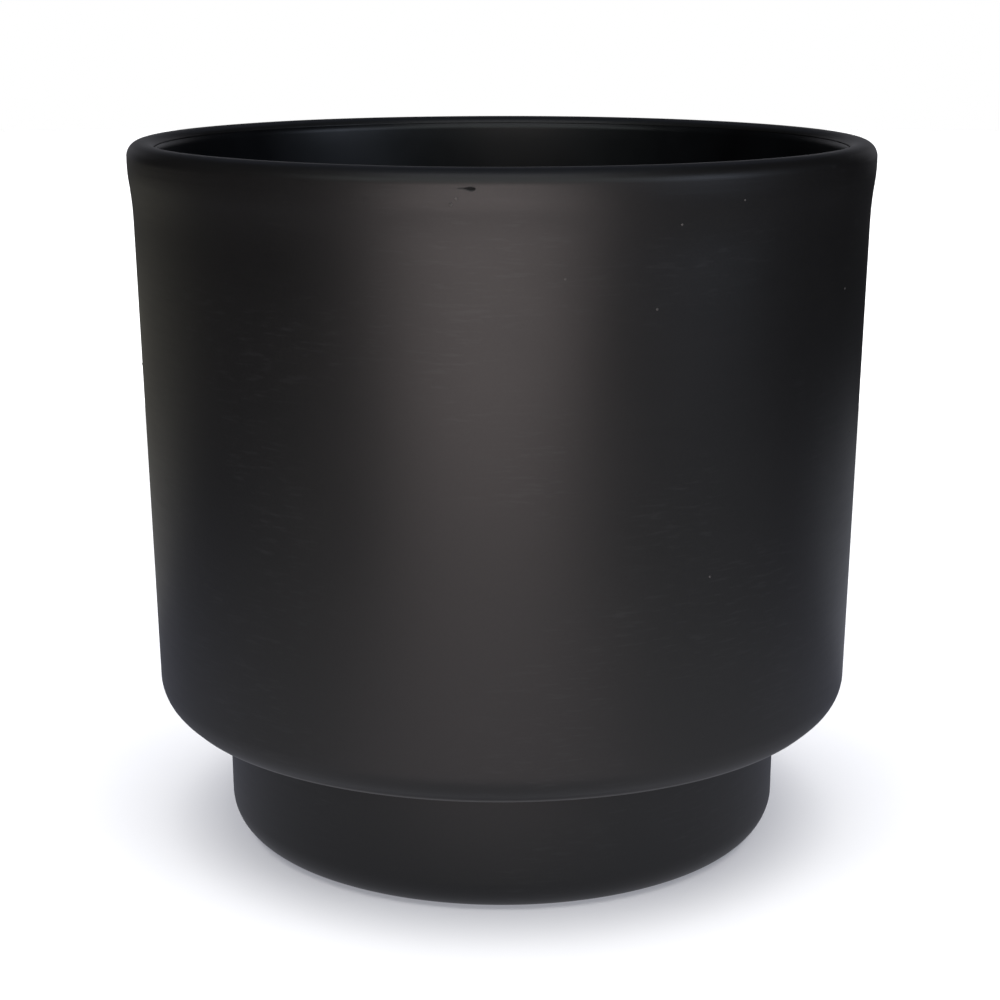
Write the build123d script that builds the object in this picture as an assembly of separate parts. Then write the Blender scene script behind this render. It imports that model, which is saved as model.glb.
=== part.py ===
from build123d import *
import os

# Empty candle jar: a squat pressed-glass vessel with a stepped foot, sprayed matt black outside.
#
# The jar is a body of revolution about +Z. It stands on z = 0, and the origin is the centre of the
# ring that it stands on. Everything is in millimetres.
#
# Three separate pieces make it:
#   glass_vessel   the moulded glass: round lip, tapered bowl, ledge, foot, shallow recess underneath
#   outer_coating  the matt lacquer film, from just inside the lip, over it, down the wall, under the
#                  ledge and round the foot's lower edge, where it stops just above the standing ring
#   base_coating   the same lacquer in the recess underneath, parted from the rest by that bare ring

# Driving dimensions of the finished, coated jar
HEIGHT = 95.7
LIP_RADIUS = 50.0  # widest point, at the lip
WALL_RADIUS_TOP = 49.6  # the bowl's wall carried up to the lip's height
WALL_RADIUS_BOTTOM = 48.0  # the same wall carried down to the ledge
LEDGE_HEIGHT = 17.9  # underside of the bowl, where the foot begins
FOOT_RADIUS_TOP = 38.75
FOOT_RADIUS_BOTTOM = 38.5

# Edges and blends outside
LIP_THICKNESS = 3.9
LIP_EDGE_RADIUS = 1.9  # almost a full round
BEAD_SHOULDER_DEPTH = 3.8  # the lip is at its widest down to here
BEAD_FOOT_DEPTH = 8.0  # the lip's swell has faded into the wall here
BEAD_SHOULDER_RADIUS = 20.0
BEAD_FOOT_RADIUS = 40.0
BOWL_CORNER_RADIUS = 4.7
NECK_RADIUS = 0.8  # inside corner between the ledge and the foot
FOOT_CORNER_RADIUS = 4.8

# Cavity
MOUTH_RADIUS = LIP_RADIUS - LIP_THICKNESS
MOUTH_DEPTH = 14.0  # the mouth is cylindrical down to here, where a lid or stopper would plug in
MOUTH_BLEND_RADIUS = 40.0
BOWL_FLOOR_RADIUS = 44.6  # the cavity's wall carried down to the inner ledge
INNER_LEDGE_HEIGHT = 22.8
INNER_CORNER_RADIUS = 6.0
WELL_RADIUS_TOP = 34.6
WELL_RADIUS_BOTTOM = 34.2
WELL_EDGE_RADIUS = 3.5
WELL_CORNER_RADIUS = 6.0
FLOOR_HEIGHT = 7.6

# Underneath
STANDING_RING_RADIUS = 30.6  # inner edge of the flat ring that the jar stands on
RING_EDGE_RADIUS = 0.5
RECESS_RADIUS = 29.2
RECESS_HEIGHT = 1.6
RECESS_CORNER_RADIUS = 0.8

# Lacquer
FILM = 0.15
FILM_LIP_DEPTH = 1.1  # how far below the top the film reaches on the lip's inner side
FILM_LOWEST_HEIGHT = 0.35  # outside, the film ends this far above the standing surface
FILM_RECESS_HEIGHT = 0.5  # in the recess, it ends this far above it


def wall_radius(height):
    """Radius of the coated bowl's tapered wall at a height."""
    share = (height - LEDGE_HEIGHT) / (HEIGHT - LEDGE_HEIGHT)
    return WALL_RADIUS_BOTTOM + (WALL_RADIUS_TOP - WALL_RADIUS_BOTTOM) * share


def vessel_section():
    """Half section of the bare glass, drawn flat: X is the radius and Y the height."""
    lip_edge = LIP_EDGE_RADIUS - FILM
    lip = LIP_RADIUS - FILM
    glass_top = HEIGHT - FILM
    bead_foot = HEIGHT - BEAD_FOOT_DEPTH
    ledge = LEDGE_HEIGHT + FILM
    # each corner of the outline: radius, height, fillet
    outline = [
        # the cavity, from the axis outwards and up
        (0, FLOOR_HEIGHT, 0),
        (WELL_RADIUS_BOTTOM, FLOOR_HEIGHT, WELL_CORNER_RADIUS),
        (WELL_RADIUS_TOP, INNER_LEDGE_HEIGHT, WELL_EDGE_RADIUS),
        (BOWL_FLOOR_RADIUS, INNER_LEDGE_HEIGHT, INNER_CORNER_RADIUS),
        (MOUTH_RADIUS, HEIGHT - MOUTH_DEPTH, MOUTH_BLEND_RADIUS),
        # the lip and its bead
        (MOUTH_RADIUS, glass_top, lip_edge),
        (lip, glass_top, lip_edge),
        (lip, HEIGHT - BEAD_SHOULDER_DEPTH, BEAD_SHOULDER_RADIUS),
        (wall_radius(bead_foot) - FILM, bead_foot, BEAD_FOOT_RADIUS),
        # the bowl's lower corner, the ledge and the foot
        (WALL_RADIUS_BOTTOM - FILM, ledge, BOWL_CORNER_RADIUS - FILM),
        (FOOT_RADIUS_TOP - FILM, ledge, NECK_RADIUS + FILM),
        (FOOT_RADIUS_BOTTOM - FILM, 0, FOOT_CORNER_RADIUS - FILM),
        # the standing ring and the recess
        (STANDING_RING_RADIUS, 0, RING_EDGE_RADIUS),
        (RECESS_RADIUS, RECESS_HEIGHT, RECESS_CORNER_RADIUS),
        (0, RECESS_HEIGHT, 0),
    ]
    points = [(radius, height) for radius, height, _ in outline]
    fillets = [fillet_radius for _, _, fillet_radius in outline]
    return make_face(FilletPolyline(*points, radius=fillets, close=True))


def outer_window():
    """Region that holds the outer film only. Its inner border runs down the middle of the glass."""
    beyond = 2 * FILM
    film_end = HEIGHT - FILM_LIP_DEPTH
    mid_lip = LIP_RADIUS - LIP_THICKNESS / 2
    mid_wall = (WALL_RADIUS_BOTTOM + BOWL_FLOOR_RADIUS) / 2
    mid_foot = (FOOT_RADIUS_BOTTOM + WELL_RADIUS_BOTTOM) / 2
    mid_ledge_height = (LEDGE_HEIGHT + INNER_LEDGE_HEIGHT) / 2
    ring_middle = FOOT_RADIUS_BOTTOM - FOOT_CORNER_RADIUS
    border = Polyline(
        (MOUTH_RADIUS - beyond, film_end),
        (mid_lip, film_end),
        (mid_wall, mid_ledge_height),
        (mid_foot, mid_ledge_height),
        (ring_middle, FILM_LOWEST_HEIGHT),
        (LIP_RADIUS + beyond, FILM_LOWEST_HEIGHT),
        (LIP_RADIUS + beyond, HEIGHT + beyond),
        (MOUTH_RADIUS - beyond, HEIGHT + beyond),
        close=True,
    )
    return make_face(border)


def recess_window():
    """Region that holds the film in the recess only."""
    corner = (Align.MIN, Align.MIN)
    height = RECESS_HEIGHT - FILM_RECESS_HEIGHT
    return Pos(0, FILM_RECESS_HEIGHT) * Rectangle(STANDING_RING_RADIUS, height, align=corner)


def turned(section):
    """A flat-drawn half section, stood up and turned once about the jar's axis."""
    return revolve(Plane.XZ * section, Axis.Z, 360)


def main():
    glass = vessel_section()
    film = offset(glass, FILM) - glass
    pieces = {
        "glass_vessel": turned(glass),
        "outer_coating": turned(film & outer_window()),
        "base_coating": turned(film & recess_window()),
    }
    os.makedirs("parts", exist_ok=True)
    for name, piece in pieces.items():
        export_step(piece, f"parts/{name}.step")


main()
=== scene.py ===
"""Looks of the empty candle jar: matt black lacquer over a glossy near-black moulded glass.

Lengths are in metres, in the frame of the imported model: +Z up, origin at the centre of the ring that
the jar stands on. The jar is a body of revolution, so the glass and its film are one section turned
about Z, with moulding waves, a fine mould seam, a chip in the film and dust nibs added to the surface.
"""

import math

import bpy
import numpy as np
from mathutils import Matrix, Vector, noise


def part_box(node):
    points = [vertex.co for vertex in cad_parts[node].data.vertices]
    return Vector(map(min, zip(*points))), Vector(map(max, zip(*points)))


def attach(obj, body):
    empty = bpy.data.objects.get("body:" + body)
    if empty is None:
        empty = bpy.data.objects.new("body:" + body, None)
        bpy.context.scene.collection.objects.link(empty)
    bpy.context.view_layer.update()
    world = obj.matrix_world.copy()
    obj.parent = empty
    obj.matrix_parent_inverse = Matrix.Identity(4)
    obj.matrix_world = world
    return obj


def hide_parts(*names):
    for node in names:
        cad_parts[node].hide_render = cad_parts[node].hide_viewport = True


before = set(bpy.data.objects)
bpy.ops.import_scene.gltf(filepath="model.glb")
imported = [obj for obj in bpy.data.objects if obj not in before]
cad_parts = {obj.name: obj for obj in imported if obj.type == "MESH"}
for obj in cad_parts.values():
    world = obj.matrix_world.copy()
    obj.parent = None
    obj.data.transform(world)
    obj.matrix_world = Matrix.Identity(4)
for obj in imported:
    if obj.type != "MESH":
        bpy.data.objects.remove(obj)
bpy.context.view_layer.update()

MM = 0.001

# ---------------------------------------------------------------- sizes
(_, _, _), (LIP_RADIUS, _, HEIGHT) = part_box("outer_coating")
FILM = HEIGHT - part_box("glass_vessel")[1][2]

WALL_RADIUS_TOP = 49.6 * MM  # the bowl's wall carried up to the lip's height
WALL_RADIUS_BOTTOM = 48.0 * MM  # the same wall carried down to the ledge
LEDGE_HEIGHT = 17.9 * MM
FOOT_RADIUS_TOP = 38.75 * MM
FOOT_RADIUS_BOTTOM = 38.5 * MM

LIP_THICKNESS = 3.9 * MM
LIP_EDGE_RADIUS = 1.9 * MM
BEAD_SHOULDER_DEPTH = 3.8 * MM
BEAD_FOOT_DEPTH = 8.0 * MM
BEAD_SHOULDER_RADIUS = 20.0 * MM
BEAD_FOOT_RADIUS = 40.0 * MM
BOWL_CORNER_RADIUS = 4.7 * MM
NECK_RADIUS = 0.8 * MM
FOOT_CORNER_RADIUS = 4.8 * MM

MOUTH_RADIUS = LIP_RADIUS - LIP_THICKNESS
LIP_MIDDLE_RADIUS = MOUTH_RADIUS + LIP_THICKNESS / 2
MOUTH_DEPTH = 14.0 * MM
MOUTH_BLEND_RADIUS = 40.0 * MM
BOWL_FLOOR_RADIUS = 44.6 * MM
INNER_LEDGE_HEIGHT = 22.8 * MM
INNER_CORNER_RADIUS = 6.0 * MM
WELL_RADIUS_TOP = 34.6 * MM
WELL_RADIUS_BOTTOM = 34.2 * MM
WELL_EDGE_RADIUS = 3.5 * MM
WELL_CORNER_RADIUS = 6.0 * MM
FLOOR_HEIGHT = 7.6 * MM

RING_RADIUS = 30.6 * MM
RING_EDGE_RADIUS = 0.5 * MM
RECESS_RADIUS = 29.2 * MM
RECESS_HEIGHT = 1.6 * MM
RECESS_CORNER_RADIUS = 0.8 * MM

FILM_LIP_DEPTH = 1.1 * MM
FILM_LOWEST_HEIGHT = 0.35 * MM


# ---------------------------------------------------------------- sections
def wall_radius(height):
    """Radius of the lacquered bowl's tapered wall at a height."""
    share = (height - LEDGE_HEIGHT) / (HEIGHT - LEDGE_HEIGHT)
    return WALL_RADIUS_BOTTOM + (WALL_RADIUS_TOP - WALL_RADIUS_BOTTOM) * share


def jar_outline(film):
    """Corners of the jar's half section, each (radius, height, fillet).

    They lie film deep under the finished outside.
    """
    lip_edge = LIP_EDGE_RADIUS - film
    lip = LIP_RADIUS - film
    top = HEIGHT - film
    bead_foot = HEIGHT - BEAD_FOOT_DEPTH
    ledge = LEDGE_HEIGHT + film
    return [
        (0, FLOOR_HEIGHT, 0),
        (WELL_RADIUS_BOTTOM, FLOOR_HEIGHT, WELL_CORNER_RADIUS),
        (WELL_RADIUS_TOP, INNER_LEDGE_HEIGHT, WELL_EDGE_RADIUS),
        (BOWL_FLOOR_RADIUS, INNER_LEDGE_HEIGHT, INNER_CORNER_RADIUS),
        (MOUTH_RADIUS, HEIGHT - MOUTH_DEPTH, MOUTH_BLEND_RADIUS),
        (MOUTH_RADIUS, top, lip_edge),
        (lip, top, lip_edge),
        (lip, HEIGHT - BEAD_SHOULDER_DEPTH, BEAD_SHOULDER_RADIUS),
        (wall_radius(bead_foot) - film, bead_foot, BEAD_FOOT_RADIUS),
        (WALL_RADIUS_BOTTOM - film, ledge, BOWL_CORNER_RADIUS - film),
        (FOOT_RADIUS_TOP - film, ledge, NECK_RADIUS + film),
        (FOOT_RADIUS_BOTTOM - film, 0, FOOT_CORNER_RADIUS - film),
        (RING_RADIUS, 0, RING_EDGE_RADIUS),
        (RECESS_RADIUS, RECESS_HEIGHT, RECESS_CORNER_RADIUS),
        (0, RECESS_HEIGHT, 0),
    ]


ARC_STEP = math.radians(6)


def rounded(outline):
    """The outline as a polyline of Vectors (radius, height), with each fillet sampled as an arc."""
    corners = [Vector((radius, height)) for radius, height, _ in outline]
    line = [corners[0]]
    for index in range(1, len(outline) - 1):
        corner, fillet = corners[index], outline[index][2]
        back = (corners[index - 1] - corner).normalized()
        ahead = (corners[index + 1] - corner).normalized()
        half = back.angle(ahead) / 2
        centre = corner + (back + ahead).normalized() * fillet / math.sin(half)
        start = corner + back * fillet / math.tan(half) - centre
        end = corner + ahead * fillet / math.tan(half) - centre
        turn = math.pi - 2 * half
        steps = max(3, math.ceil(turn / ARC_STEP))
        for step in range(steps + 1):
            along = turn * step / steps
            line.append(centre + (start * math.sin(turn - along) + end * math.sin(along)) / math.sin(turn))
    line.append(corners[-1])
    return line


def spaced(line, longest):
    """The polyline with its long runs divided."""
    out = [line[0]]
    for start, end in zip(line, line[1:]):
        steps = max(1, math.ceil((end - start).length / longest))
        out += [start.lerp(end, step / steps) for step in range(1, steps + 1)]
    return out


def normals_of(line):
    """Unit normals of a section polyline, on its left-hand side, which is away from the glass."""
    points = np.array([tuple(point) for point in line])
    along = np.gradient(points, axis=0)
    along /= np.linalg.norm(along, axis=1)[:, None]
    return np.stack([-along[:, 1], along[:, 0]], axis=1)


# ---------------------------------------------------------------- turned meshes
COLUMNS = 240
CHIP_AZIMUTH = math.radians(-94.5)  # a little left of the front, which is -Y
CHIP_HEIGHT = HEIGHT - 2.30 * MM
CHIP_LENGTH = 2.1 * MM
CHIP_DEPTH_Z = 0.5 * MM
FINE_STEP = 0.06 * MM
FINE_REACH = 1.3 * MM

WAVE_START = 2.0 * MM
WAVE_FADE = 6.0 * MM
WAVE_DEPTH = 0.05 * MM
WAVE_LENGTH = 22.0 * MM
WAVE_STRETCH = 0.5


def azimuths():
    """Angles of the columns: even all round, and closer together across the chip."""
    even = -math.pi + 2 * math.pi * np.arange(COLUMNS) / COLUMNS
    reach = FINE_REACH / LIP_RADIUS
    even = even[np.abs(even - CHIP_AZIMUTH) > reach]
    fine = CHIP_AZIMUTH + np.linspace(-reach, reach, int(2 * FINE_REACH / FINE_STEP) + 1)
    return np.sort(np.concatenate([even, fine]))


def mesh_object(name, points, faces, materials, face_slots=None):
    """A smooth-shaded mesh object that rides on the jar's one body.

    face_slots is the index of each face's material, and left out where there is one material.
    """
    mesh = bpy.data.meshes.new(name)
    mesh.from_pydata([tuple(point) for point in points], [], faces)
    for material in materials:
        mesh.materials.append(material)
    mesh.polygons.foreach_set("use_smooth", [True] * len(mesh.polygons))
    if face_slots is not None:
        mesh.polygons.foreach_set("material_index", face_slots)
    mesh.update()
    piece = bpy.data.objects.new(name, mesh)
    bpy.context.scene.collection.objects.link(piece)
    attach(piece, "root")
    return piece


def grid_faces(rows, columns, wrap_rows, offset=0):
    """Quads over a grid of points whose columns close round the jar, and whose rows may close too.

    offset is the index of the grid's first point.
    """
    faces = []
    for row in range(rows if wrap_rows else rows - 1):
        below = offset + row * columns
        above = offset + ((row + 1) % rows) * columns
        for column in range(columns):
            beside = (column + 1) % columns
            faces.append((below + column, above + column, above + beside, below + beside))
    return faces


def swept(line, angles, lift):
    """Points of a section line (rows of radius, height) swept round, each lifted along its own normal.

    lift has one value per row and column, in metres, and is positive away from the glass.
    """
    points = np.array([tuple(point) for point in line])
    normals = normals_of(line)
    radius = points[:, 0, None] + lift * normals[:, 0, None]
    height = points[:, 1, None] + lift * normals[:, 1, None]
    return np.stack([radius * np.cos(angles), radius * np.sin(angles), height], axis=2)


def moulding_waves(line, angles):
    """How far the moulded glass lies under its nominal surface: long shallow waves, and none underneath."""
    lift = np.zeros((len(line), len(angles)))
    for row, (radius, height) in enumerate(line):
        fade = min(1.0, max(0.0, (height - WAVE_START) / WAVE_FADE))
        if fade == 0:
            continue
        for column, angle in enumerate(angles):
            where = Vector((radius * math.cos(angle), radius * math.sin(angle), height * WAVE_STRETCH))
            lift[row, column] = fade * WAVE_DEPTH * (noise.noise(where / WAVE_LENGTH) - 1) / 2
    return lift


def glass_body(line, material):
    """The moulded glass: the whole section, turned, closed by a fan at each end of the axis."""
    inner = line[1:-1]
    angles = azimuths()
    rings = swept(inner, angles, moulding_waves(inner, angles))
    columns = len(angles)
    points = rings.reshape(-1, 3).tolist()
    faces = grid_faces(len(inner), columns, wrap_rows=False)
    top, bottom = len(points), len(points) + 1
    points += [(0, 0, line[0][1]), (0, 0, line[-1][1])]
    last = (len(inner) - 1) * columns
    for column in range(columns):
        beside = (column + 1) % columns
        faces.append((top, column, beside))
        faces.append((last + column, bottom, last + beside))
    piece = mesh_object("moulded_glass", points, faces, [material])
    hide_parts("glass_vessel")


# ---------------------------------------------------------------- lacquer films
EDGE_FEATHER = 0.9 * MM  # the film thins out over this distance at its edges
EDGE_FILM = 0.02 * MM
CHIP_FILM = EDGE_FILM / 4
SEAM_TILT = math.radians(62)  # where the seam runs on the bowl's rounded corner, below level
SEAM_RADIUS = 0.25 * MM
SEAM_HEIGHT = LEDGE_HEIGHT + BOWL_CORNER_RADIUS * (1 - math.sin(SEAM_TILT))


def film_depths(line):
    """The film's thickness at each row: full in the middle, feathered at both ends."""
    steps = [(b - a).length for a, b in zip(line, line[1:])]
    run = np.concatenate([[0], np.cumsum(steps)])
    nearest_end = np.minimum(run, run[-1] - run)
    share = np.clip(nearest_end / EDGE_FEATHER, 0, 1)
    return EDGE_FILM + (FILM - EDGE_FILM) * np.sin(share * math.pi / 2)


def seam_bead(line):
    """Lift of the fine half-round seam that the mould leaves round the bowl's lower edge."""
    middle = WALL_RADIUS_BOTTOM - BOWL_CORNER_RADIUS
    arc_centre = Vector((middle, LEDGE_HEIGHT + BOWL_CORNER_RADIUS))
    lift = np.zeros(len(line))
    for row, point in enumerate(line):
        spoke = Vector(point) - arc_centre
        on_corner = spoke[0] > 0 and spoke[1] < 0 and point[0] > FOOT_RADIUS_TOP + NECK_RADIUS
        if on_corner:
            off = (math.atan2(-spoke[1], spoke[0]) - SEAM_TILT) * BOWL_CORNER_RADIUS
            lift[row] = math.sqrt(max(0, SEAM_RADIUS**2 - off**2))
    return lift


# The chip's outline. Distances across it are shares of CHIP_LENGTH, and heights are shares of CHIP_DEPTH_Z.
CHIP_BODY_MIDDLE = 0.20
CHIP_BODY_HALF_LENGTH = 0.23
CHIP_BODY_HALF_DEPTH = 0.42
CHIP_TAIL_START = -0.5
CHIP_TAIL_POINT = -0.55  # where the tail's two edges would meet
CHIP_TAIL_SLOPE = 0.30
CHIP_TAIL_MIDDLE = 0.12
CHIP_RAGGED = 0.25
CHIP_TAIL_RAGGED = 0.2 * CHIP_RAGGED
CHIP_RAGGED_ACROSS = 5
CHIP_RAGGED_UP = 3
CHIP_RAGGED_SEED = 4.0


def in_chip(angle, height):
    """Whether the lacquer is missing at this place: a ragged sliver with a tail to its left."""
    across = (angle - CHIP_AZIMUTH) * LIP_RADIUS / CHIP_LENGTH
    up = (height - CHIP_HEIGHT) / CHIP_DEPTH_Z
    place = Vector((across * CHIP_RAGGED_ACROSS, up * CHIP_RAGGED_UP, CHIP_RAGGED_SEED))
    ragged = noise.noise(place)
    along_body = (across - CHIP_BODY_MIDDLE) / CHIP_BODY_HALF_LENGTH
    in_body = math.hypot(along_body, up / CHIP_BODY_HALF_DEPTH) < 1 + CHIP_RAGGED * ragged
    half_tail = CHIP_TAIL_SLOPE * (across - CHIP_TAIL_POINT) + CHIP_TAIL_RAGGED * ragged
    in_tail = CHIP_TAIL_START < across < CHIP_BODY_MIDDLE and abs(up - CHIP_TAIL_MIDDLE) < half_tail
    return in_body or in_tail


def chipped_places(line, angles):
    """For each row and column of the film, whether the lacquer is missing there."""
    bare = np.zeros((len(line), len(angles)), bool)
    near = np.abs(angles - CHIP_AZIMUTH) * LIP_RADIUS < FINE_REACH
    for row, (radius, height) in enumerate(line):
        if abs(height - CHIP_HEIGHT) < CHIP_DEPTH_Z * 2 and radius > LIP_MIDDLE_RADIUS:
            bare[row] = [close and in_chip(angle, height) for close, angle in zip(near, angles)]
    return bare


def lacquer_film(line, lacquer, pit):
    """The closed outer film over a stretch of the glass's line. The chip in it has the pit's material."""
    angles = azimuths()
    waves = moulding_waves(line, angles)
    bare = chipped_places(line, angles)
    thickness = film_depths(line) + seam_bead(line)
    depth = np.where(bare, CHIP_FILM, thickness[:, None])
    outer = swept(line, angles, waves + depth)
    inner = swept(line, angles, waves)[::-1]
    points = np.concatenate([outer, inner]).reshape(-1, 3)
    faces = grid_faces(2 * len(line), len(angles), wrap_rows=True)
    bare_beside = np.roll(bare, -1, axis=1)
    in_pit = bare[:-1] & bare[1:] & bare_beside[:-1] & bare_beside[1:]
    slots = np.zeros(len(faces), int)
    slots[: in_pit.size] = in_pit.reshape(-1)
    piece = mesh_object("outer_lacquer", points, faces, [lacquer, pit], slots)
    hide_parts("outer_coating")


# ---------------------------------------------------------------- dust nibs
# Specks under the lacquer, each (azimuth in degrees, height, radius), in millimetres
NIBS_FRONT = [
    (-95.9, 92.3, 0.20),
    (-96.6, 91.6, 0.22),
    (-65.3, 88.9, 0.16),
    (-55.4, 91.3, 0.14),
    (-81.6, 83.1, 0.15),
    (-68.6, 79.2, 0.17),
    (-58.7, 45.9, 0.17),
]
NIBS_ELSEWHERE = 14
NIB_AZIMUTHS = (-30, 210)
NIB_HEIGHTS = (26, 90)
NIB_RADII = (0.10, 0.17)
NIB_SEED = 7
NIB_FLATNESS = 0.35
NIB_RINGS = 5
NIB_SECTORS = 10


def wall_surface(height):
    """Radius of the lacquered surface at a height, from the lip's swell down to the bowl's corner."""
    swell_end = HEIGHT - BEAD_FOOT_DEPTH
    if height <= swell_end:
        return wall_radius(height)
    share = min(1, (height - swell_end) / (BEAD_FOOT_DEPTH - BEAD_SHOULDER_DEPTH))
    return wall_radius(swell_end) + (LIP_RADIUS - wall_radius(swell_end)) * share


def surface_place(azimuth, height):
    """The place on the lacquered wall at an azimuth in degrees and a height in millimetres."""
    angle = math.radians(azimuth)
    radius = wall_surface(height * MM)
    return Vector((radius * math.cos(angle), radius * math.sin(angle), height * MM))


def nib_places():
    """The nibs at the front, and a few more spread over the rest of the wall."""
    places = list(NIBS_FRONT)
    spread = np.random.default_rng(NIB_SEED)
    for _ in range(NIBS_ELSEWHERE):
        azimuth = spread.uniform(*NIB_AZIMUTHS)
        height = spread.uniform(*NIB_HEIGHTS)
        radius = spread.uniform(*NIB_RADII)
        places.append((azimuth, height, radius))
    return places


def add_nib(points, faces, azimuth, height, radius):
    """Adds one closed lens shape, half sunk in the lacquered wall, to the points and faces."""
    angle = math.radians(azimuth)
    out = Vector((math.cos(angle), math.sin(angle), 0))
    side = Vector((-math.sin(angle), math.cos(angle), 0))
    up = Vector((0, 0, 1))
    centre = surface_place(azimuth, height) - out * WAVE_DEPTH / 2
    first = len(points)
    for ring in range(1, NIB_RINGS):
        polar = math.pi * ring / NIB_RINGS
        for sector in range(NIB_SECTORS):
            turn = 2 * math.pi * sector / NIB_SECTORS
            flat = side * math.cos(turn) + up * math.sin(turn)
            lens = out * math.cos(polar) * NIB_FLATNESS + flat * math.sin(polar)
            points.append(centre + lens * radius * MM)
    faces += grid_faces(NIB_RINGS - 1, NIB_SECTORS, wrap_rows=False, offset=first)
    outer_pole = len(points)
    inner_pole = outer_pole + 1
    points.append(centre + out * NIB_FLATNESS * radius * MM)
    points.append(centre - out * NIB_FLATNESS * radius * MM)
    last = first + (NIB_RINGS - 2) * NIB_SECTORS
    for sector in range(NIB_SECTORS):
        beside = (sector + 1) % NIB_SECTORS
        faces.append((outer_pole, first + sector, first + beside))
        faces.append((inner_pole, last + beside, last + sector))


def lacquer_nibs(material):
    """All the nibs, as one piece."""
    points, faces = [], []
    for azimuth, height, radius in nib_places():
        add_nib(points, faces, azimuth, height, radius)
    piece = mesh_object("lacquer_nibs", points, faces, [material])


# ---------------------------------------------------------------- materials
MIX_COLOUR_SOCKETS = (6, 7)  # the Mix node has one pair of sockets for each kind of value
MIX_COLOUR_OUTPUT = 2


class Nodes:
    """A material's node tree, with short calls for the nodes that the jar's materials use."""

    def __init__(self, name):
        self.material = bpy.data.materials.new(name)
        self.material.use_nodes = True
        self.tree = self.material.node_tree
        self.shader = self.tree.nodes["Principled BSDF"]
        self.place = self.tree.nodes.new("ShaderNodeTexCoord").outputs["Object"]

    def link(self, source, target):
        self.tree.links.new(source, target)

    def noise(self, size, stretch=(1, 1, 1), detail=2.0):
        """Noise whose features are about size across, drawn out by stretch along X, Y and Z."""
        mapping = self.tree.nodes.new("ShaderNodeMapping")
        mapping.inputs["Scale"].default_value = [1 / (size * factor) for factor in stretch]
        self.link(self.place, mapping.inputs["Vector"])
        texture = self.tree.nodes.new("ShaderNodeTexNoise")
        texture.inputs["Scale"].default_value = 1.0
        texture.inputs["Detail"].default_value = detail
        self.link(mapping.outputs["Vector"], texture.inputs["Vector"])
        return texture.outputs["Fac"]

    def ranged(self, source, low, high, from_low=0.3, from_high=0.7):
        """source taken from one range to another, held at its ends."""
        node = self.tree.nodes.new("ShaderNodeMapRange")
        node.inputs["From Min"].default_value = from_low
        node.inputs["From Max"].default_value = from_high
        node.inputs["To Min"].default_value = low
        node.inputs["To Max"].default_value = high
        self.link(source, node.inputs["Value"])
        return node.outputs["Result"]

    def maths(self, operation, first, second):
        """One Math node. Each operand is an output or a number."""
        node = self.tree.nodes.new("ShaderNodeMath")
        node.operation = operation
        for socket, operand in zip(node.inputs, (first, second)):
            if isinstance(operand, (int, float)):
                socket.default_value = operand
            else:
                self.link(operand, socket)
        return node.outputs["Value"]

    def mixed(self, factor, first, second):
        """A colour between two others, each a colour or an output."""
        node = self.tree.nodes.new("ShaderNodeMix")
        node.data_type = "RGBA"
        self.link(factor, node.inputs["Factor"])
        for socket, colour in zip(MIX_COLOUR_SOCKETS, (first, second)):
            if isinstance(colour, tuple):
                node.inputs[socket].default_value = (*colour, 1)
            else:
                self.link(colour, node.inputs[socket])
        return node.outputs[MIX_COLOUR_OUTPUT]

    def mark(self, centre, half_size):
        """1 at a place on the jar, falling to 0 at half_size from it along X, Y and Z."""
        mapping = self.tree.nodes.new("ShaderNodeMapping")
        mapping.vector_type = "TEXTURE"
        mapping.inputs["Location"].default_value = centre
        mapping.inputs["Scale"].default_value = half_size
        self.link(self.place, mapping.inputs["Vector"])
        return self.ranged(self.length(mapping.outputs["Vector"]), 1, 0, from_low=0, from_high=1)

    def length(self, vector):
        """A vector's length."""
        node = self.tree.nodes.new("ShaderNodeVectorMath")
        node.operation = "LENGTH"
        self.link(vector, node.inputs[0])
        return node.outputs["Value"]

    def along(self, axis):
        """The place's X, Y or Z, in metres."""
        node = self.tree.nodes.new("ShaderNodeSeparateXYZ")
        self.link(self.place, node.inputs["Vector"])
        return node.outputs[axis]

    def emission(self):
        """Makes the surface glow in place of its shader."""
        node = self.tree.nodes.new("ShaderNodeEmission")
        self.link(node.outputs["Emission"], self.tree.nodes["Material Output"].inputs["Surface"])
        return node

    def bump(self, source, distance, under=None):
        """A bump of that height over an optional one under it."""
        node = self.tree.nodes.new("ShaderNodeBump")
        node.inputs["Distance"].default_value = distance
        node.inputs["Strength"].default_value = 1.0
        self.link(source, node.inputs["Height"])
        if under is not None:
            self.link(under, node.inputs["Normal"])
        return node.outputs["Normal"]


LACQUER_DARK = (0.0068, 0.0066, 0.0068)
LACQUER_LIGHT = (0.0110, 0.0106, 0.0106)
LACQUER_ROUGHNESS = 0.42
CLOUD_SIZE = 26 * MM
CLOUD_ROUGHNESS = 0.02
SPECKLE_SIZE = 0.35 * MM
STREAK_SIZE = 0.7 * MM
STREAK_STRETCH = (12, 12, 1)
STREAK_ROUGHNESS = 0.01
LACQUER_IOR = 1.5
PEEL_SIZE = 1.4 * MM
PEEL_HEIGHT = 0.006 * MM
GRAIN_SIZE = 0.30 * MM
GRAIN_HEIGHT = 0.004 * MM
SCUFF_SIZE = 0.45 * MM
SCUFF_STRETCH = (7, 7, 1)
SCUFF_FROM, SCUFF_FULL = 0.55, 0.75  # the noise's values where a scuff begins and where it is full
SCUFF_PATCH_SIZE = 20 * MM
SCUFF_PATCH_FROM, SCUFF_PATCH_FULL = 0.50, 0.62
SCUFF_COLOUR = (0.016, 0.016, 0.0165)
SEAM_HIGHLIGHT_COLOUR = (0.105, 0.105, 0.106)  # painted highlight: the thin bright line of light along the mould seam, painted paler into the lacquer's colour
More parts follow.
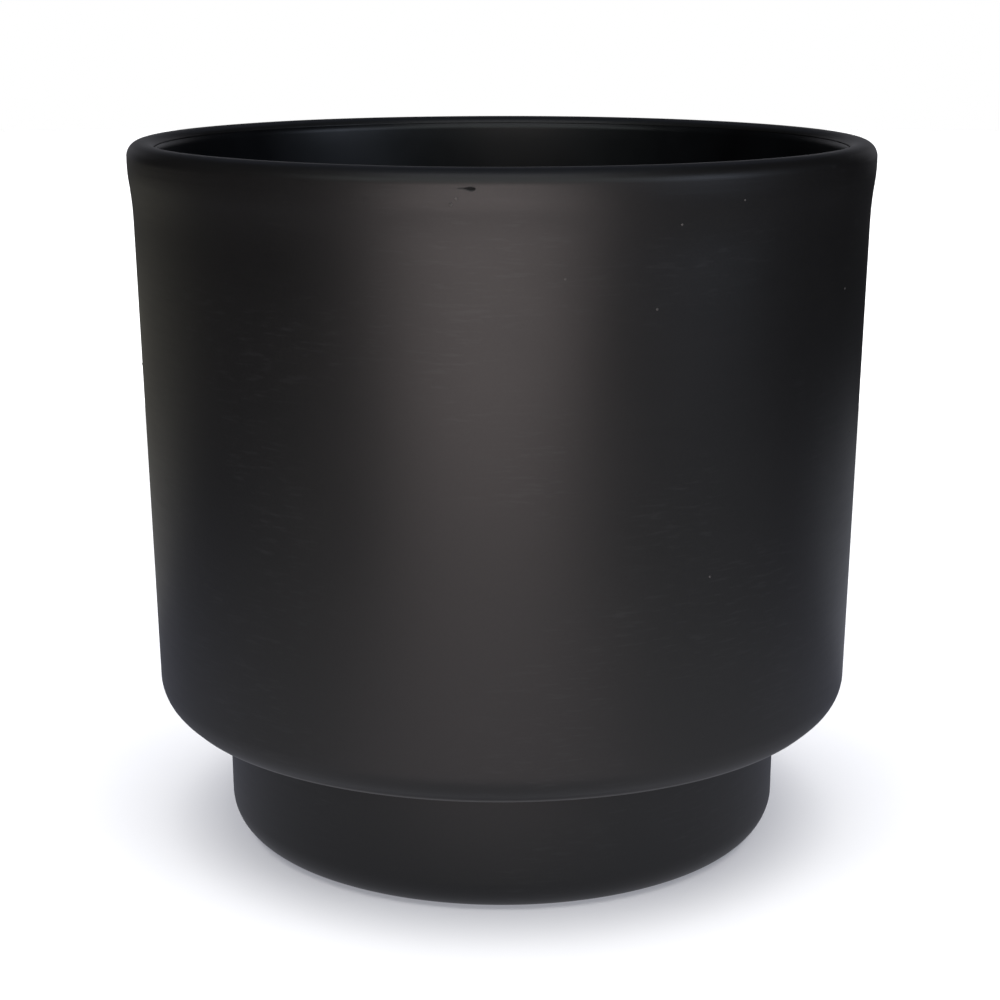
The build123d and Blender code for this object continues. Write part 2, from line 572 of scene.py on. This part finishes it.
SEAM_HIGHLIGHT_FULL = 0.5 * SEAM_RADIUS  # the painted highlight is full to this far above and below the seam
SEAM_HIGHLIGHT_END = 1.7 * SEAM_RADIUS
DULL_MARK = (-108.2, 92.1)  # azimuth in degrees and height in millimetres
DULL_MARK_HALF = (1.1 * MM, 1.1 * MM, 0.55 * MM)
DULL_MARK_ROUGHNESS = 0.25  # added at its middle


def lacquer_colour(nodes, clouds):
    """Black, slightly uneven, with faint level scuffs in patches, and a painted highlight along the mould seam.
    """
    speckle = nodes.noise(SPECKLE_SIZE, detail=2)
    tone = nodes.maths("ADD", nodes.maths("MULTIPLY", clouds, 0.5), nodes.maths("MULTIPLY", speckle, 0.5))
    colour = nodes.mixed(nodes.ranged(tone, 0, 1), LACQUER_DARK, LACQUER_LIGHT)
    strokes = nodes.noise(SCUFF_SIZE, stretch=SCUFF_STRETCH, detail=2)
    scuffs = nodes.ranged(strokes, 0, 1, from_low=SCUFF_FROM, from_high=SCUFF_FULL)
    areas = nodes.noise(SCUFF_PATCH_SIZE, detail=1)
    patches = nodes.ranged(areas, 0, 1, from_low=SCUFF_PATCH_FROM, from_high=SCUFF_PATCH_FULL)
    colour = nodes.mixed(nodes.maths("MULTIPLY", scuffs, patches), colour, SCUFF_COLOUR)
    # painted highlight: a thin paler band along the mould seam, which stands in for the light that the seam
    # catches
    off_seam = nodes.maths("ABSOLUTE", nodes.maths("SUBTRACT", nodes.along("Z"), SEAM_HEIGHT), 0)
    seam_highlight = nodes.ranged(off_seam, 1, 0, from_low=SEAM_HIGHLIGHT_FULL, from_high=SEAM_HIGHLIGHT_END)
    return nodes.mixed(seam_highlight, colour, SEAM_HIGHLIGHT_COLOUR)


def lacquer_roughness(nodes, clouds):
    """Uneven by clouds and by faint level streaks, and duller at one mark beside the lip."""
    streaks = nodes.noise(STREAK_SIZE, stretch=STREAK_STRETCH, detail=3)
    cloud_part = nodes.ranged(clouds, -CLOUD_ROUGHNESS, CLOUD_ROUGHNESS)
    streak_part = nodes.ranged(streaks, -STREAK_ROUGHNESS, STREAK_ROUGHNESS)
    mark = nodes.mark(surface_place(*DULL_MARK), DULL_MARK_HALF)
    even = nodes.maths("ADD", nodes.maths("MULTIPLY", mark, DULL_MARK_ROUGHNESS), LACQUER_ROUGHNESS)
    return nodes.maths("ADD", nodes.maths("ADD", cloud_part, streak_part), even)


def matt_lacquer():
    """Sprayed matt black, with orange peel and fine grain."""
    nodes = Nodes("matt_black_lacquer")
    clouds = nodes.noise(CLOUD_SIZE, detail=3)
    nodes.link(lacquer_colour(nodes, clouds), nodes.shader.inputs["Base Color"])
    nodes.link(lacquer_roughness(nodes, clouds), nodes.shader.inputs["Roughness"])
    peel = nodes.bump(nodes.noise(PEEL_SIZE, detail=1), PEEL_HEIGHT)
    grain = nodes.bump(nodes.noise(GRAIN_SIZE, detail=2), GRAIN_HEIGHT, under=peel)
    nodes.link(grain, nodes.shader.inputs["Normal"])
    nodes.shader.inputs["IOR"].default_value = LACQUER_IOR
    return nodes.material


GLASS_DARK = (0.0020, 0.0022, 0.0030)
GLASS_LIGHT = (0.0045, 0.0050, 0.0065)
GLASS_SMOOTHEST = 0.32
GLASS_ROUGHEST = 0.40
GLASS_IOR = 1.52
GROUND_ROUGHNESS = 0.45
GROUND_FULL, GROUND_END = 0.05 * MM, 0.30 * MM  # heights that the ground ring's roughness fades between
HAZE_SIZE = 9 * MM
RIPPLE_SIZE = 7 * MM
RIPPLE_STRETCH = (1, 1, 2.5)
RIPPLE_HEIGHT = 0.02 * MM


def backed_glass():
    """Moulded glass with black lacquer behind it: glossy, faintly rippled, ground where it stands."""
    nodes = Nodes("black_backed_glass")
    haze = nodes.noise(HAZE_SIZE, detail=4)
    colour = nodes.mixed(nodes.ranged(haze, 0, 1), GLASS_DARK, GLASS_LIGHT)
    nodes.link(colour, nodes.shader.inputs["Base Color"])
    polished = nodes.ranged(haze, GLASS_SMOOTHEST, GLASS_ROUGHEST)
    ground = nodes.ranged(nodes.along("Z"), GROUND_ROUGHNESS, 0, from_low=GROUND_FULL, from_high=GROUND_END)
    nodes.link(nodes.maths("MAXIMUM", polished, ground), nodes.shader.inputs["Roughness"])
    ripples = nodes.bump(nodes.noise(RIPPLE_SIZE, stretch=RIPPLE_STRETCH, detail=1), RIPPLE_HEIGHT)
    nodes.link(ripples, nodes.shader.inputs["Normal"])
    nodes.shader.inputs["IOR"].default_value = GLASS_IOR
    return nodes.material


CHIP_COLOUR_DARK = (0.002, 0.002, 0.002)
CHIP_COLOUR_LIGHT = (0.006, 0.006, 0.006)
CHIP_PIT_SIZE = 0.2 * MM
CHIP_ROUGHNESS = 0.9


def bare_chip():
    """The dull pit where a flake of lacquer has come away."""
    nodes = Nodes("bare_chip")
    pits = nodes.noise(CHIP_PIT_SIZE, detail=2)
    nodes.link(nodes.mixed(pits, CHIP_COLOUR_DARK, CHIP_COLOUR_LIGHT), nodes.shader.inputs["Base Color"])
    nodes.shader.inputs["Roughness"].default_value = CHIP_ROUGHNESS
    return nodes.material


NIB_COLOUR_DARK = (0.045, 0.043, 0.041)
NIB_COLOUR_LIGHT = (0.12, 0.115, 0.11)
NIB_RUB_SIZE = 0.25 * MM
NIB_SMOOTHEST = 0.35
NIB_ROUGHEST = 0.50


def nib_lacquer():
    """The lacquer over a dust speck, rubbed paler than the rest."""
    nodes = Nodes("rubbed_lacquer")
    rub = nodes.noise(NIB_RUB_SIZE, detail=2)
    colour = nodes.mixed(nodes.ranged(rub, 0, 1), NIB_COLOUR_DARK, NIB_COLOUR_LIGHT)
    nodes.link(colour, nodes.shader.inputs["Base Color"])
    nodes.link(nodes.ranged(rub, NIB_SMOOTHEST, NIB_ROUGHEST), nodes.shader.inputs["Roughness"])
    return nodes.material


# ---------------------------------------------------------------- the jar
def refined(line, low, high, step):
    """The polyline with its outside runs between two heights divided finely."""
    out = [line[0]]
    for start, end in zip(line, line[1:]):
        outside = min(start[0], end[0]) > LIP_MIDDLE_RADIUS
        if outside and low < (start[1] + end[1]) / 2 < high:
            out += spaced([start, end], step)[1:]
        else:
            out.append(end)
    return out


def outer_stretch(line):
    """The part of the glass's line under the outer film, from inside the lip to the foot's lower edge."""
    first = next(row for row, point in enumerate(line) if point[1] > HEIGHT - FILM_LIP_DEPTH)
    last = next(row for row in range(first, len(line)) if line[row][1] < FILM_LOWEST_HEIGHT)
    return line[first:last]


LONGEST_RUN = 2.0 * MM
SEAM_REACH = 2.5 * SEAM_RADIUS
SEAM_STEP = SEAM_RADIUS / 6
CHIP_REACH_Z = 2 * CHIP_DEPTH_Z

GLASS_LINE = spaced(rounded(jar_outline(FILM)), LONGEST_RUN)
FILM_LINE = outer_stretch(GLASS_LINE)
FILM_LINE = refined(FILM_LINE, CHIP_HEIGHT - CHIP_REACH_Z, CHIP_HEIGHT + CHIP_REACH_Z, FINE_STEP)
FILM_LINE = refined(FILM_LINE, SEAM_HEIGHT - SEAM_REACH, SEAM_HEIGHT + SEAM_REACH, SEAM_STEP)


def make_jar():
    """The glass, its outer film and the nibs, and the lacquer on the recess film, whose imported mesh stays."""
    lacquer = matt_lacquer()
    glass_body(GLASS_LINE, backed_glass())
    lacquer_film(FILM_LINE, lacquer, bare_chip())
    lacquer_nibs(nib_lacquer())
    recess_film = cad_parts["base_coating"]
    recess_film.data.materials.clear()
    recess_film.data.materials.append(lacquer)


make_jar()


# ---------------------------------------------------------------- stage, light and camera
FLOOR_HALF = 3.0
FLOOR_DARK = (0.80, 0.80, 0.80)
FLOOR_LIGHT = (0.83, 0.83, 0.83)
FLOOR_CLOUD_SIZE = 30 * MM
FLOOR_ROUGHNESS = 0.9
FLOOR_SPECULAR = 0.1
BACKDROP_RADIUS = 1.5
BACKDROP_HEIGHT = 2.0
BACKDROP_COLUMNS = 64
GLOW_RADIUS = 0.30  # also half the side of the square that glows
GLOW_FADE_START = 0.10
GLOW_LIFT = 0.05 * MM
GLOW_SHADE = 0.8  # the jar shades the floor close to its foot
GLOW_SHADE_START = 0.045
GLOW_SHADE_END = 0.080
GLOW_FRONT = (0.74, 0.74, 0.76)
GLOW_FRONT_Y = -0.12
GLOW_BACK = (0.26, 0.27, 0.33)
GLOW_BACK_Y = 0.02
CARD_LIFT = 1 * MM
ROOM_COLOUR = (0.01, 0.01, 0.01)
MIDDLE = Vector((0, 0, HEIGHT / 2))


def stage_object(name, points, faces, material):
    """A mesh that isn't part of the jar."""
    mesh = bpy.data.meshes.new(name)
    mesh.from_pydata(points, [], faces)
    mesh.materials.append(material)
    piece = bpy.data.objects.new(name, mesh)
    bpy.context.scene.collection.objects.link(piece)
    return piece


def stage_sheet(name, half, height, material):
    """A level square that isn't part of the jar."""
    corners = [(-half, -half, height), (half, -half, height), (half, half, height), (-half, half, height)]
    return stage_object(name, corners, [(0, 1, 2, 3)], material)


def pale_floor():
    """Matt and nearly white."""
    nodes = Nodes("pale_floor")
    tone = nodes.noise(FLOOR_CLOUD_SIZE, detail=3)
    nodes.link(nodes.mixed(tone, FLOOR_DARK, FLOOR_LIGHT), nodes.shader.inputs["Base Color"])
    nodes.shader.inputs["Roughness"].default_value = FLOOR_ROUGHNESS
    nodes.shader.inputs["Specular IOR Level"].default_value = FLOOR_SPECULAR
    return nodes.material


def floor_glow():
    """What the jar sees of the floor: brightest in front, and fading out with distance."""
    nodes = Nodes("floor_glow")
    front = nodes.ranged(nodes.along("Y"), 0, 1, from_low=GLOW_BACK_Y, from_high=GLOW_FRONT_Y)
    away = nodes.length(nodes.place)
    far_fade = nodes.ranged(away, 1, 0, from_low=GLOW_FADE_START, from_high=GLOW_RADIUS)
    near_shade = nodes.ranged(away, GLOW_SHADE, 1, from_low=GLOW_SHADE_START, from_high=GLOW_SHADE_END)
    emission = nodes.emission()
    nodes.link(nodes.mixed(front, GLOW_BACK, GLOW_FRONT), emission.inputs["Color"])
    nodes.link(nodes.maths("MULTIPLY", far_fade, near_shade), emission.inputs["Strength"])
    return nodes.material


def make_backdrop():
    """A white ring of wall round the jar, for the camera alone."""
    nodes = Nodes("white_backdrop")
    nodes.emission()
    nodes.material.cycles.emission_sampling = "NONE"
    turns = [2 * math.pi * column / BACKDROP_COLUMNS for column in range(BACKDROP_COLUMNS)]
    foot = [(BACKDROP_RADIUS * math.cos(turn), BACKDROP_RADIUS * math.sin(turn), 0) for turn in turns]
    points = foot + [(x, y, BACKDROP_HEIGHT) for x, y, _ in foot]
    wall = stage_object("backdrop", points, grid_faces(2, BACKDROP_COLUMNS, wrap_rows=False), nodes.material)
    wall.visible_glossy = False
    wall.visible_diffuse = False
    wall.visible_shadow = False


def make_floor():
    """A pale floor for the camera, and in its place the glow for the jar's reflections."""
    floor = stage_sheet("floor", FLOOR_HALF, 0, pale_floor())
    floor.visible_glossy = False
    floor.visible_diffuse = False
    glow = stage_sheet("floor_glow", GLOW_RADIUS, GLOW_LIFT, floor_glow())
    glow.visible_camera = False
    glow.visible_shadow = False
    return floor


def area_light(name, size, radiance, location, rotation):
    """A rectangular light of even radiance, which the camera doesn't see."""
    light = bpy.data.lights.new(name, "AREA")
    light.shape = "RECTANGLE"
    light.size, light.size_y = size
    light.energy = math.pi * size[0] * size[1]
    light.color = radiance
    lamp = bpy.data.objects.new(name, light)
    lamp.location = location
    lamp.rotation_euler = rotation
    lamp.visible_camera = False
    bpy.context.scene.collection.objects.link(lamp)
    return lamp


def softbox(name, azimuth, elevation, distance, size, radiance):
    """A light aimed at the jar's middle. Azimuth 0 is in front of the jar, and 90 to its right."""
    turn, rise = math.radians(azimuth), math.radians(elevation)
    away = Vector((math.sin(turn) * math.cos(rise), -math.cos(turn) * math.cos(rise), math.sin(rise)))
    return area_light(name, size, radiance, MIDDLE + away * distance, away.to_track_quat("Z", "Y").to_euler())


def table_card(name, corner, far_corner, radiance):
    """A level light at floor height, facing up, that stands for a bright table top."""
    size = (far_corner[0] - corner[0], far_corner[1] - corner[1])
    middle = ((corner[0] + far_corner[0]) / 2, (corner[1] + far_corner[1]) / 2, CARD_LIFT)
    area_light(name, size, radiance, middle, (math.pi, 0, 0))


def floor_wash(floor):
    """An overhead light for the floor alone, so that it stays pale round a dark jar in a dim room."""
    lamp = softbox("floor_wash", 0, 90, 2.0, (4.0, 4.0), (3.5, 3.5, 3.5))
    lit = bpy.data.collections.new("floor_only")
    lit.objects.link(floor)
    lamp.light_linking.receiver_collection = lit


def make_lights():
    """The bright table tops and soft lights that the jar reflects. Each call ends with the radiance."""
    table_card("table_front", (-0.262, -0.75), (0.168, -0.33), (6.9, 6.0, 5.9))
    table_card("table_near", (-0.070, -0.20), (0.050, -0.07), (0.35, 0.28, 0.30))
    table_card("table_back_left", (-0.60, 0.08), (-0.08, 0.60), (0.27, 0.26, 0.22))
    table_card("table_back_right", (0.06, 0.05), (0.22, 0.24), (0.25, 0.26, 0.28))
    softbox("key_low", -6, 6, 1.0, (0.55, 0.20), (1.7, 1.55, 1.5))
    softbox("key_wide", -5, 30, 1.0, (1.90, 0.40), (1.05, 1.15, 1.15))
    softbox("key_high", -5, 60, 1.1, (1.00, 0.50), (1.1, 1.1, 1.17))
    softbox("overhead", 0, 88, 1.2, (1.0, 1.0), (0.12, 0.15, 0.20))
    softbox("window_right", 60, 14, 1.0, (0.45, 0.40), (1.6, 1.8, 2.2))
    softbox("back_low", 180, 8, 1.3, (1.8, 0.5), (0.35, 0.35, 0.38))
    softbox("back_high", 180, 45, 1.2, (1.2, 0.5), (0.11, 0.12, 0.16))


def make_world():
    """A nearly black room."""
    world = bpy.data.worlds.new("studio")
    bpy.context.scene.world = world
    world.use_nodes = True
    world.node_tree.nodes["Background"].inputs["Color"].default_value = (*ROOM_COLOUR, 1)


CAMERA_DISTANCE = 289.7 * MM  # level distance from the jar's axis
CAMERA_HEIGHT = 115.7 * MM
CAMERA_TILT = math.radians(13.64)  # below level
CAMERA_LENS = 76.5  # this and the sensor's width are in millimetres
CAMERA_SENSOR = 36
CAMERA_SHIFT = -0.0019
CAMERA_NEAREST = 0.01


def make_camera():
    """In front of the jar, above it and tilted down, with no depth of field."""
    lens = bpy.data.cameras.new("camera")
    lens.lens = CAMERA_LENS
    lens.sensor_width = CAMERA_SENSOR
    lens.shift_x = CAMERA_SHIFT
    lens.clip_start = CAMERA_NEAREST
    camera = bpy.data.objects.new("camera", lens)
    camera.location = (0, -CAMERA_DISTANCE, CAMERA_HEIGHT)
    camera.rotation_euler = (math.pi / 2 - CAMERA_TILT, 0, 0)
    bpy.context.scene.collection.objects.link(camera)
    bpy.context.scene.camera = camera
    bpy.context.scene.view_settings.view_transform = "Standard"


make_backdrop()
floor_wash(make_floor())
make_lights()
make_world()
make_camera()
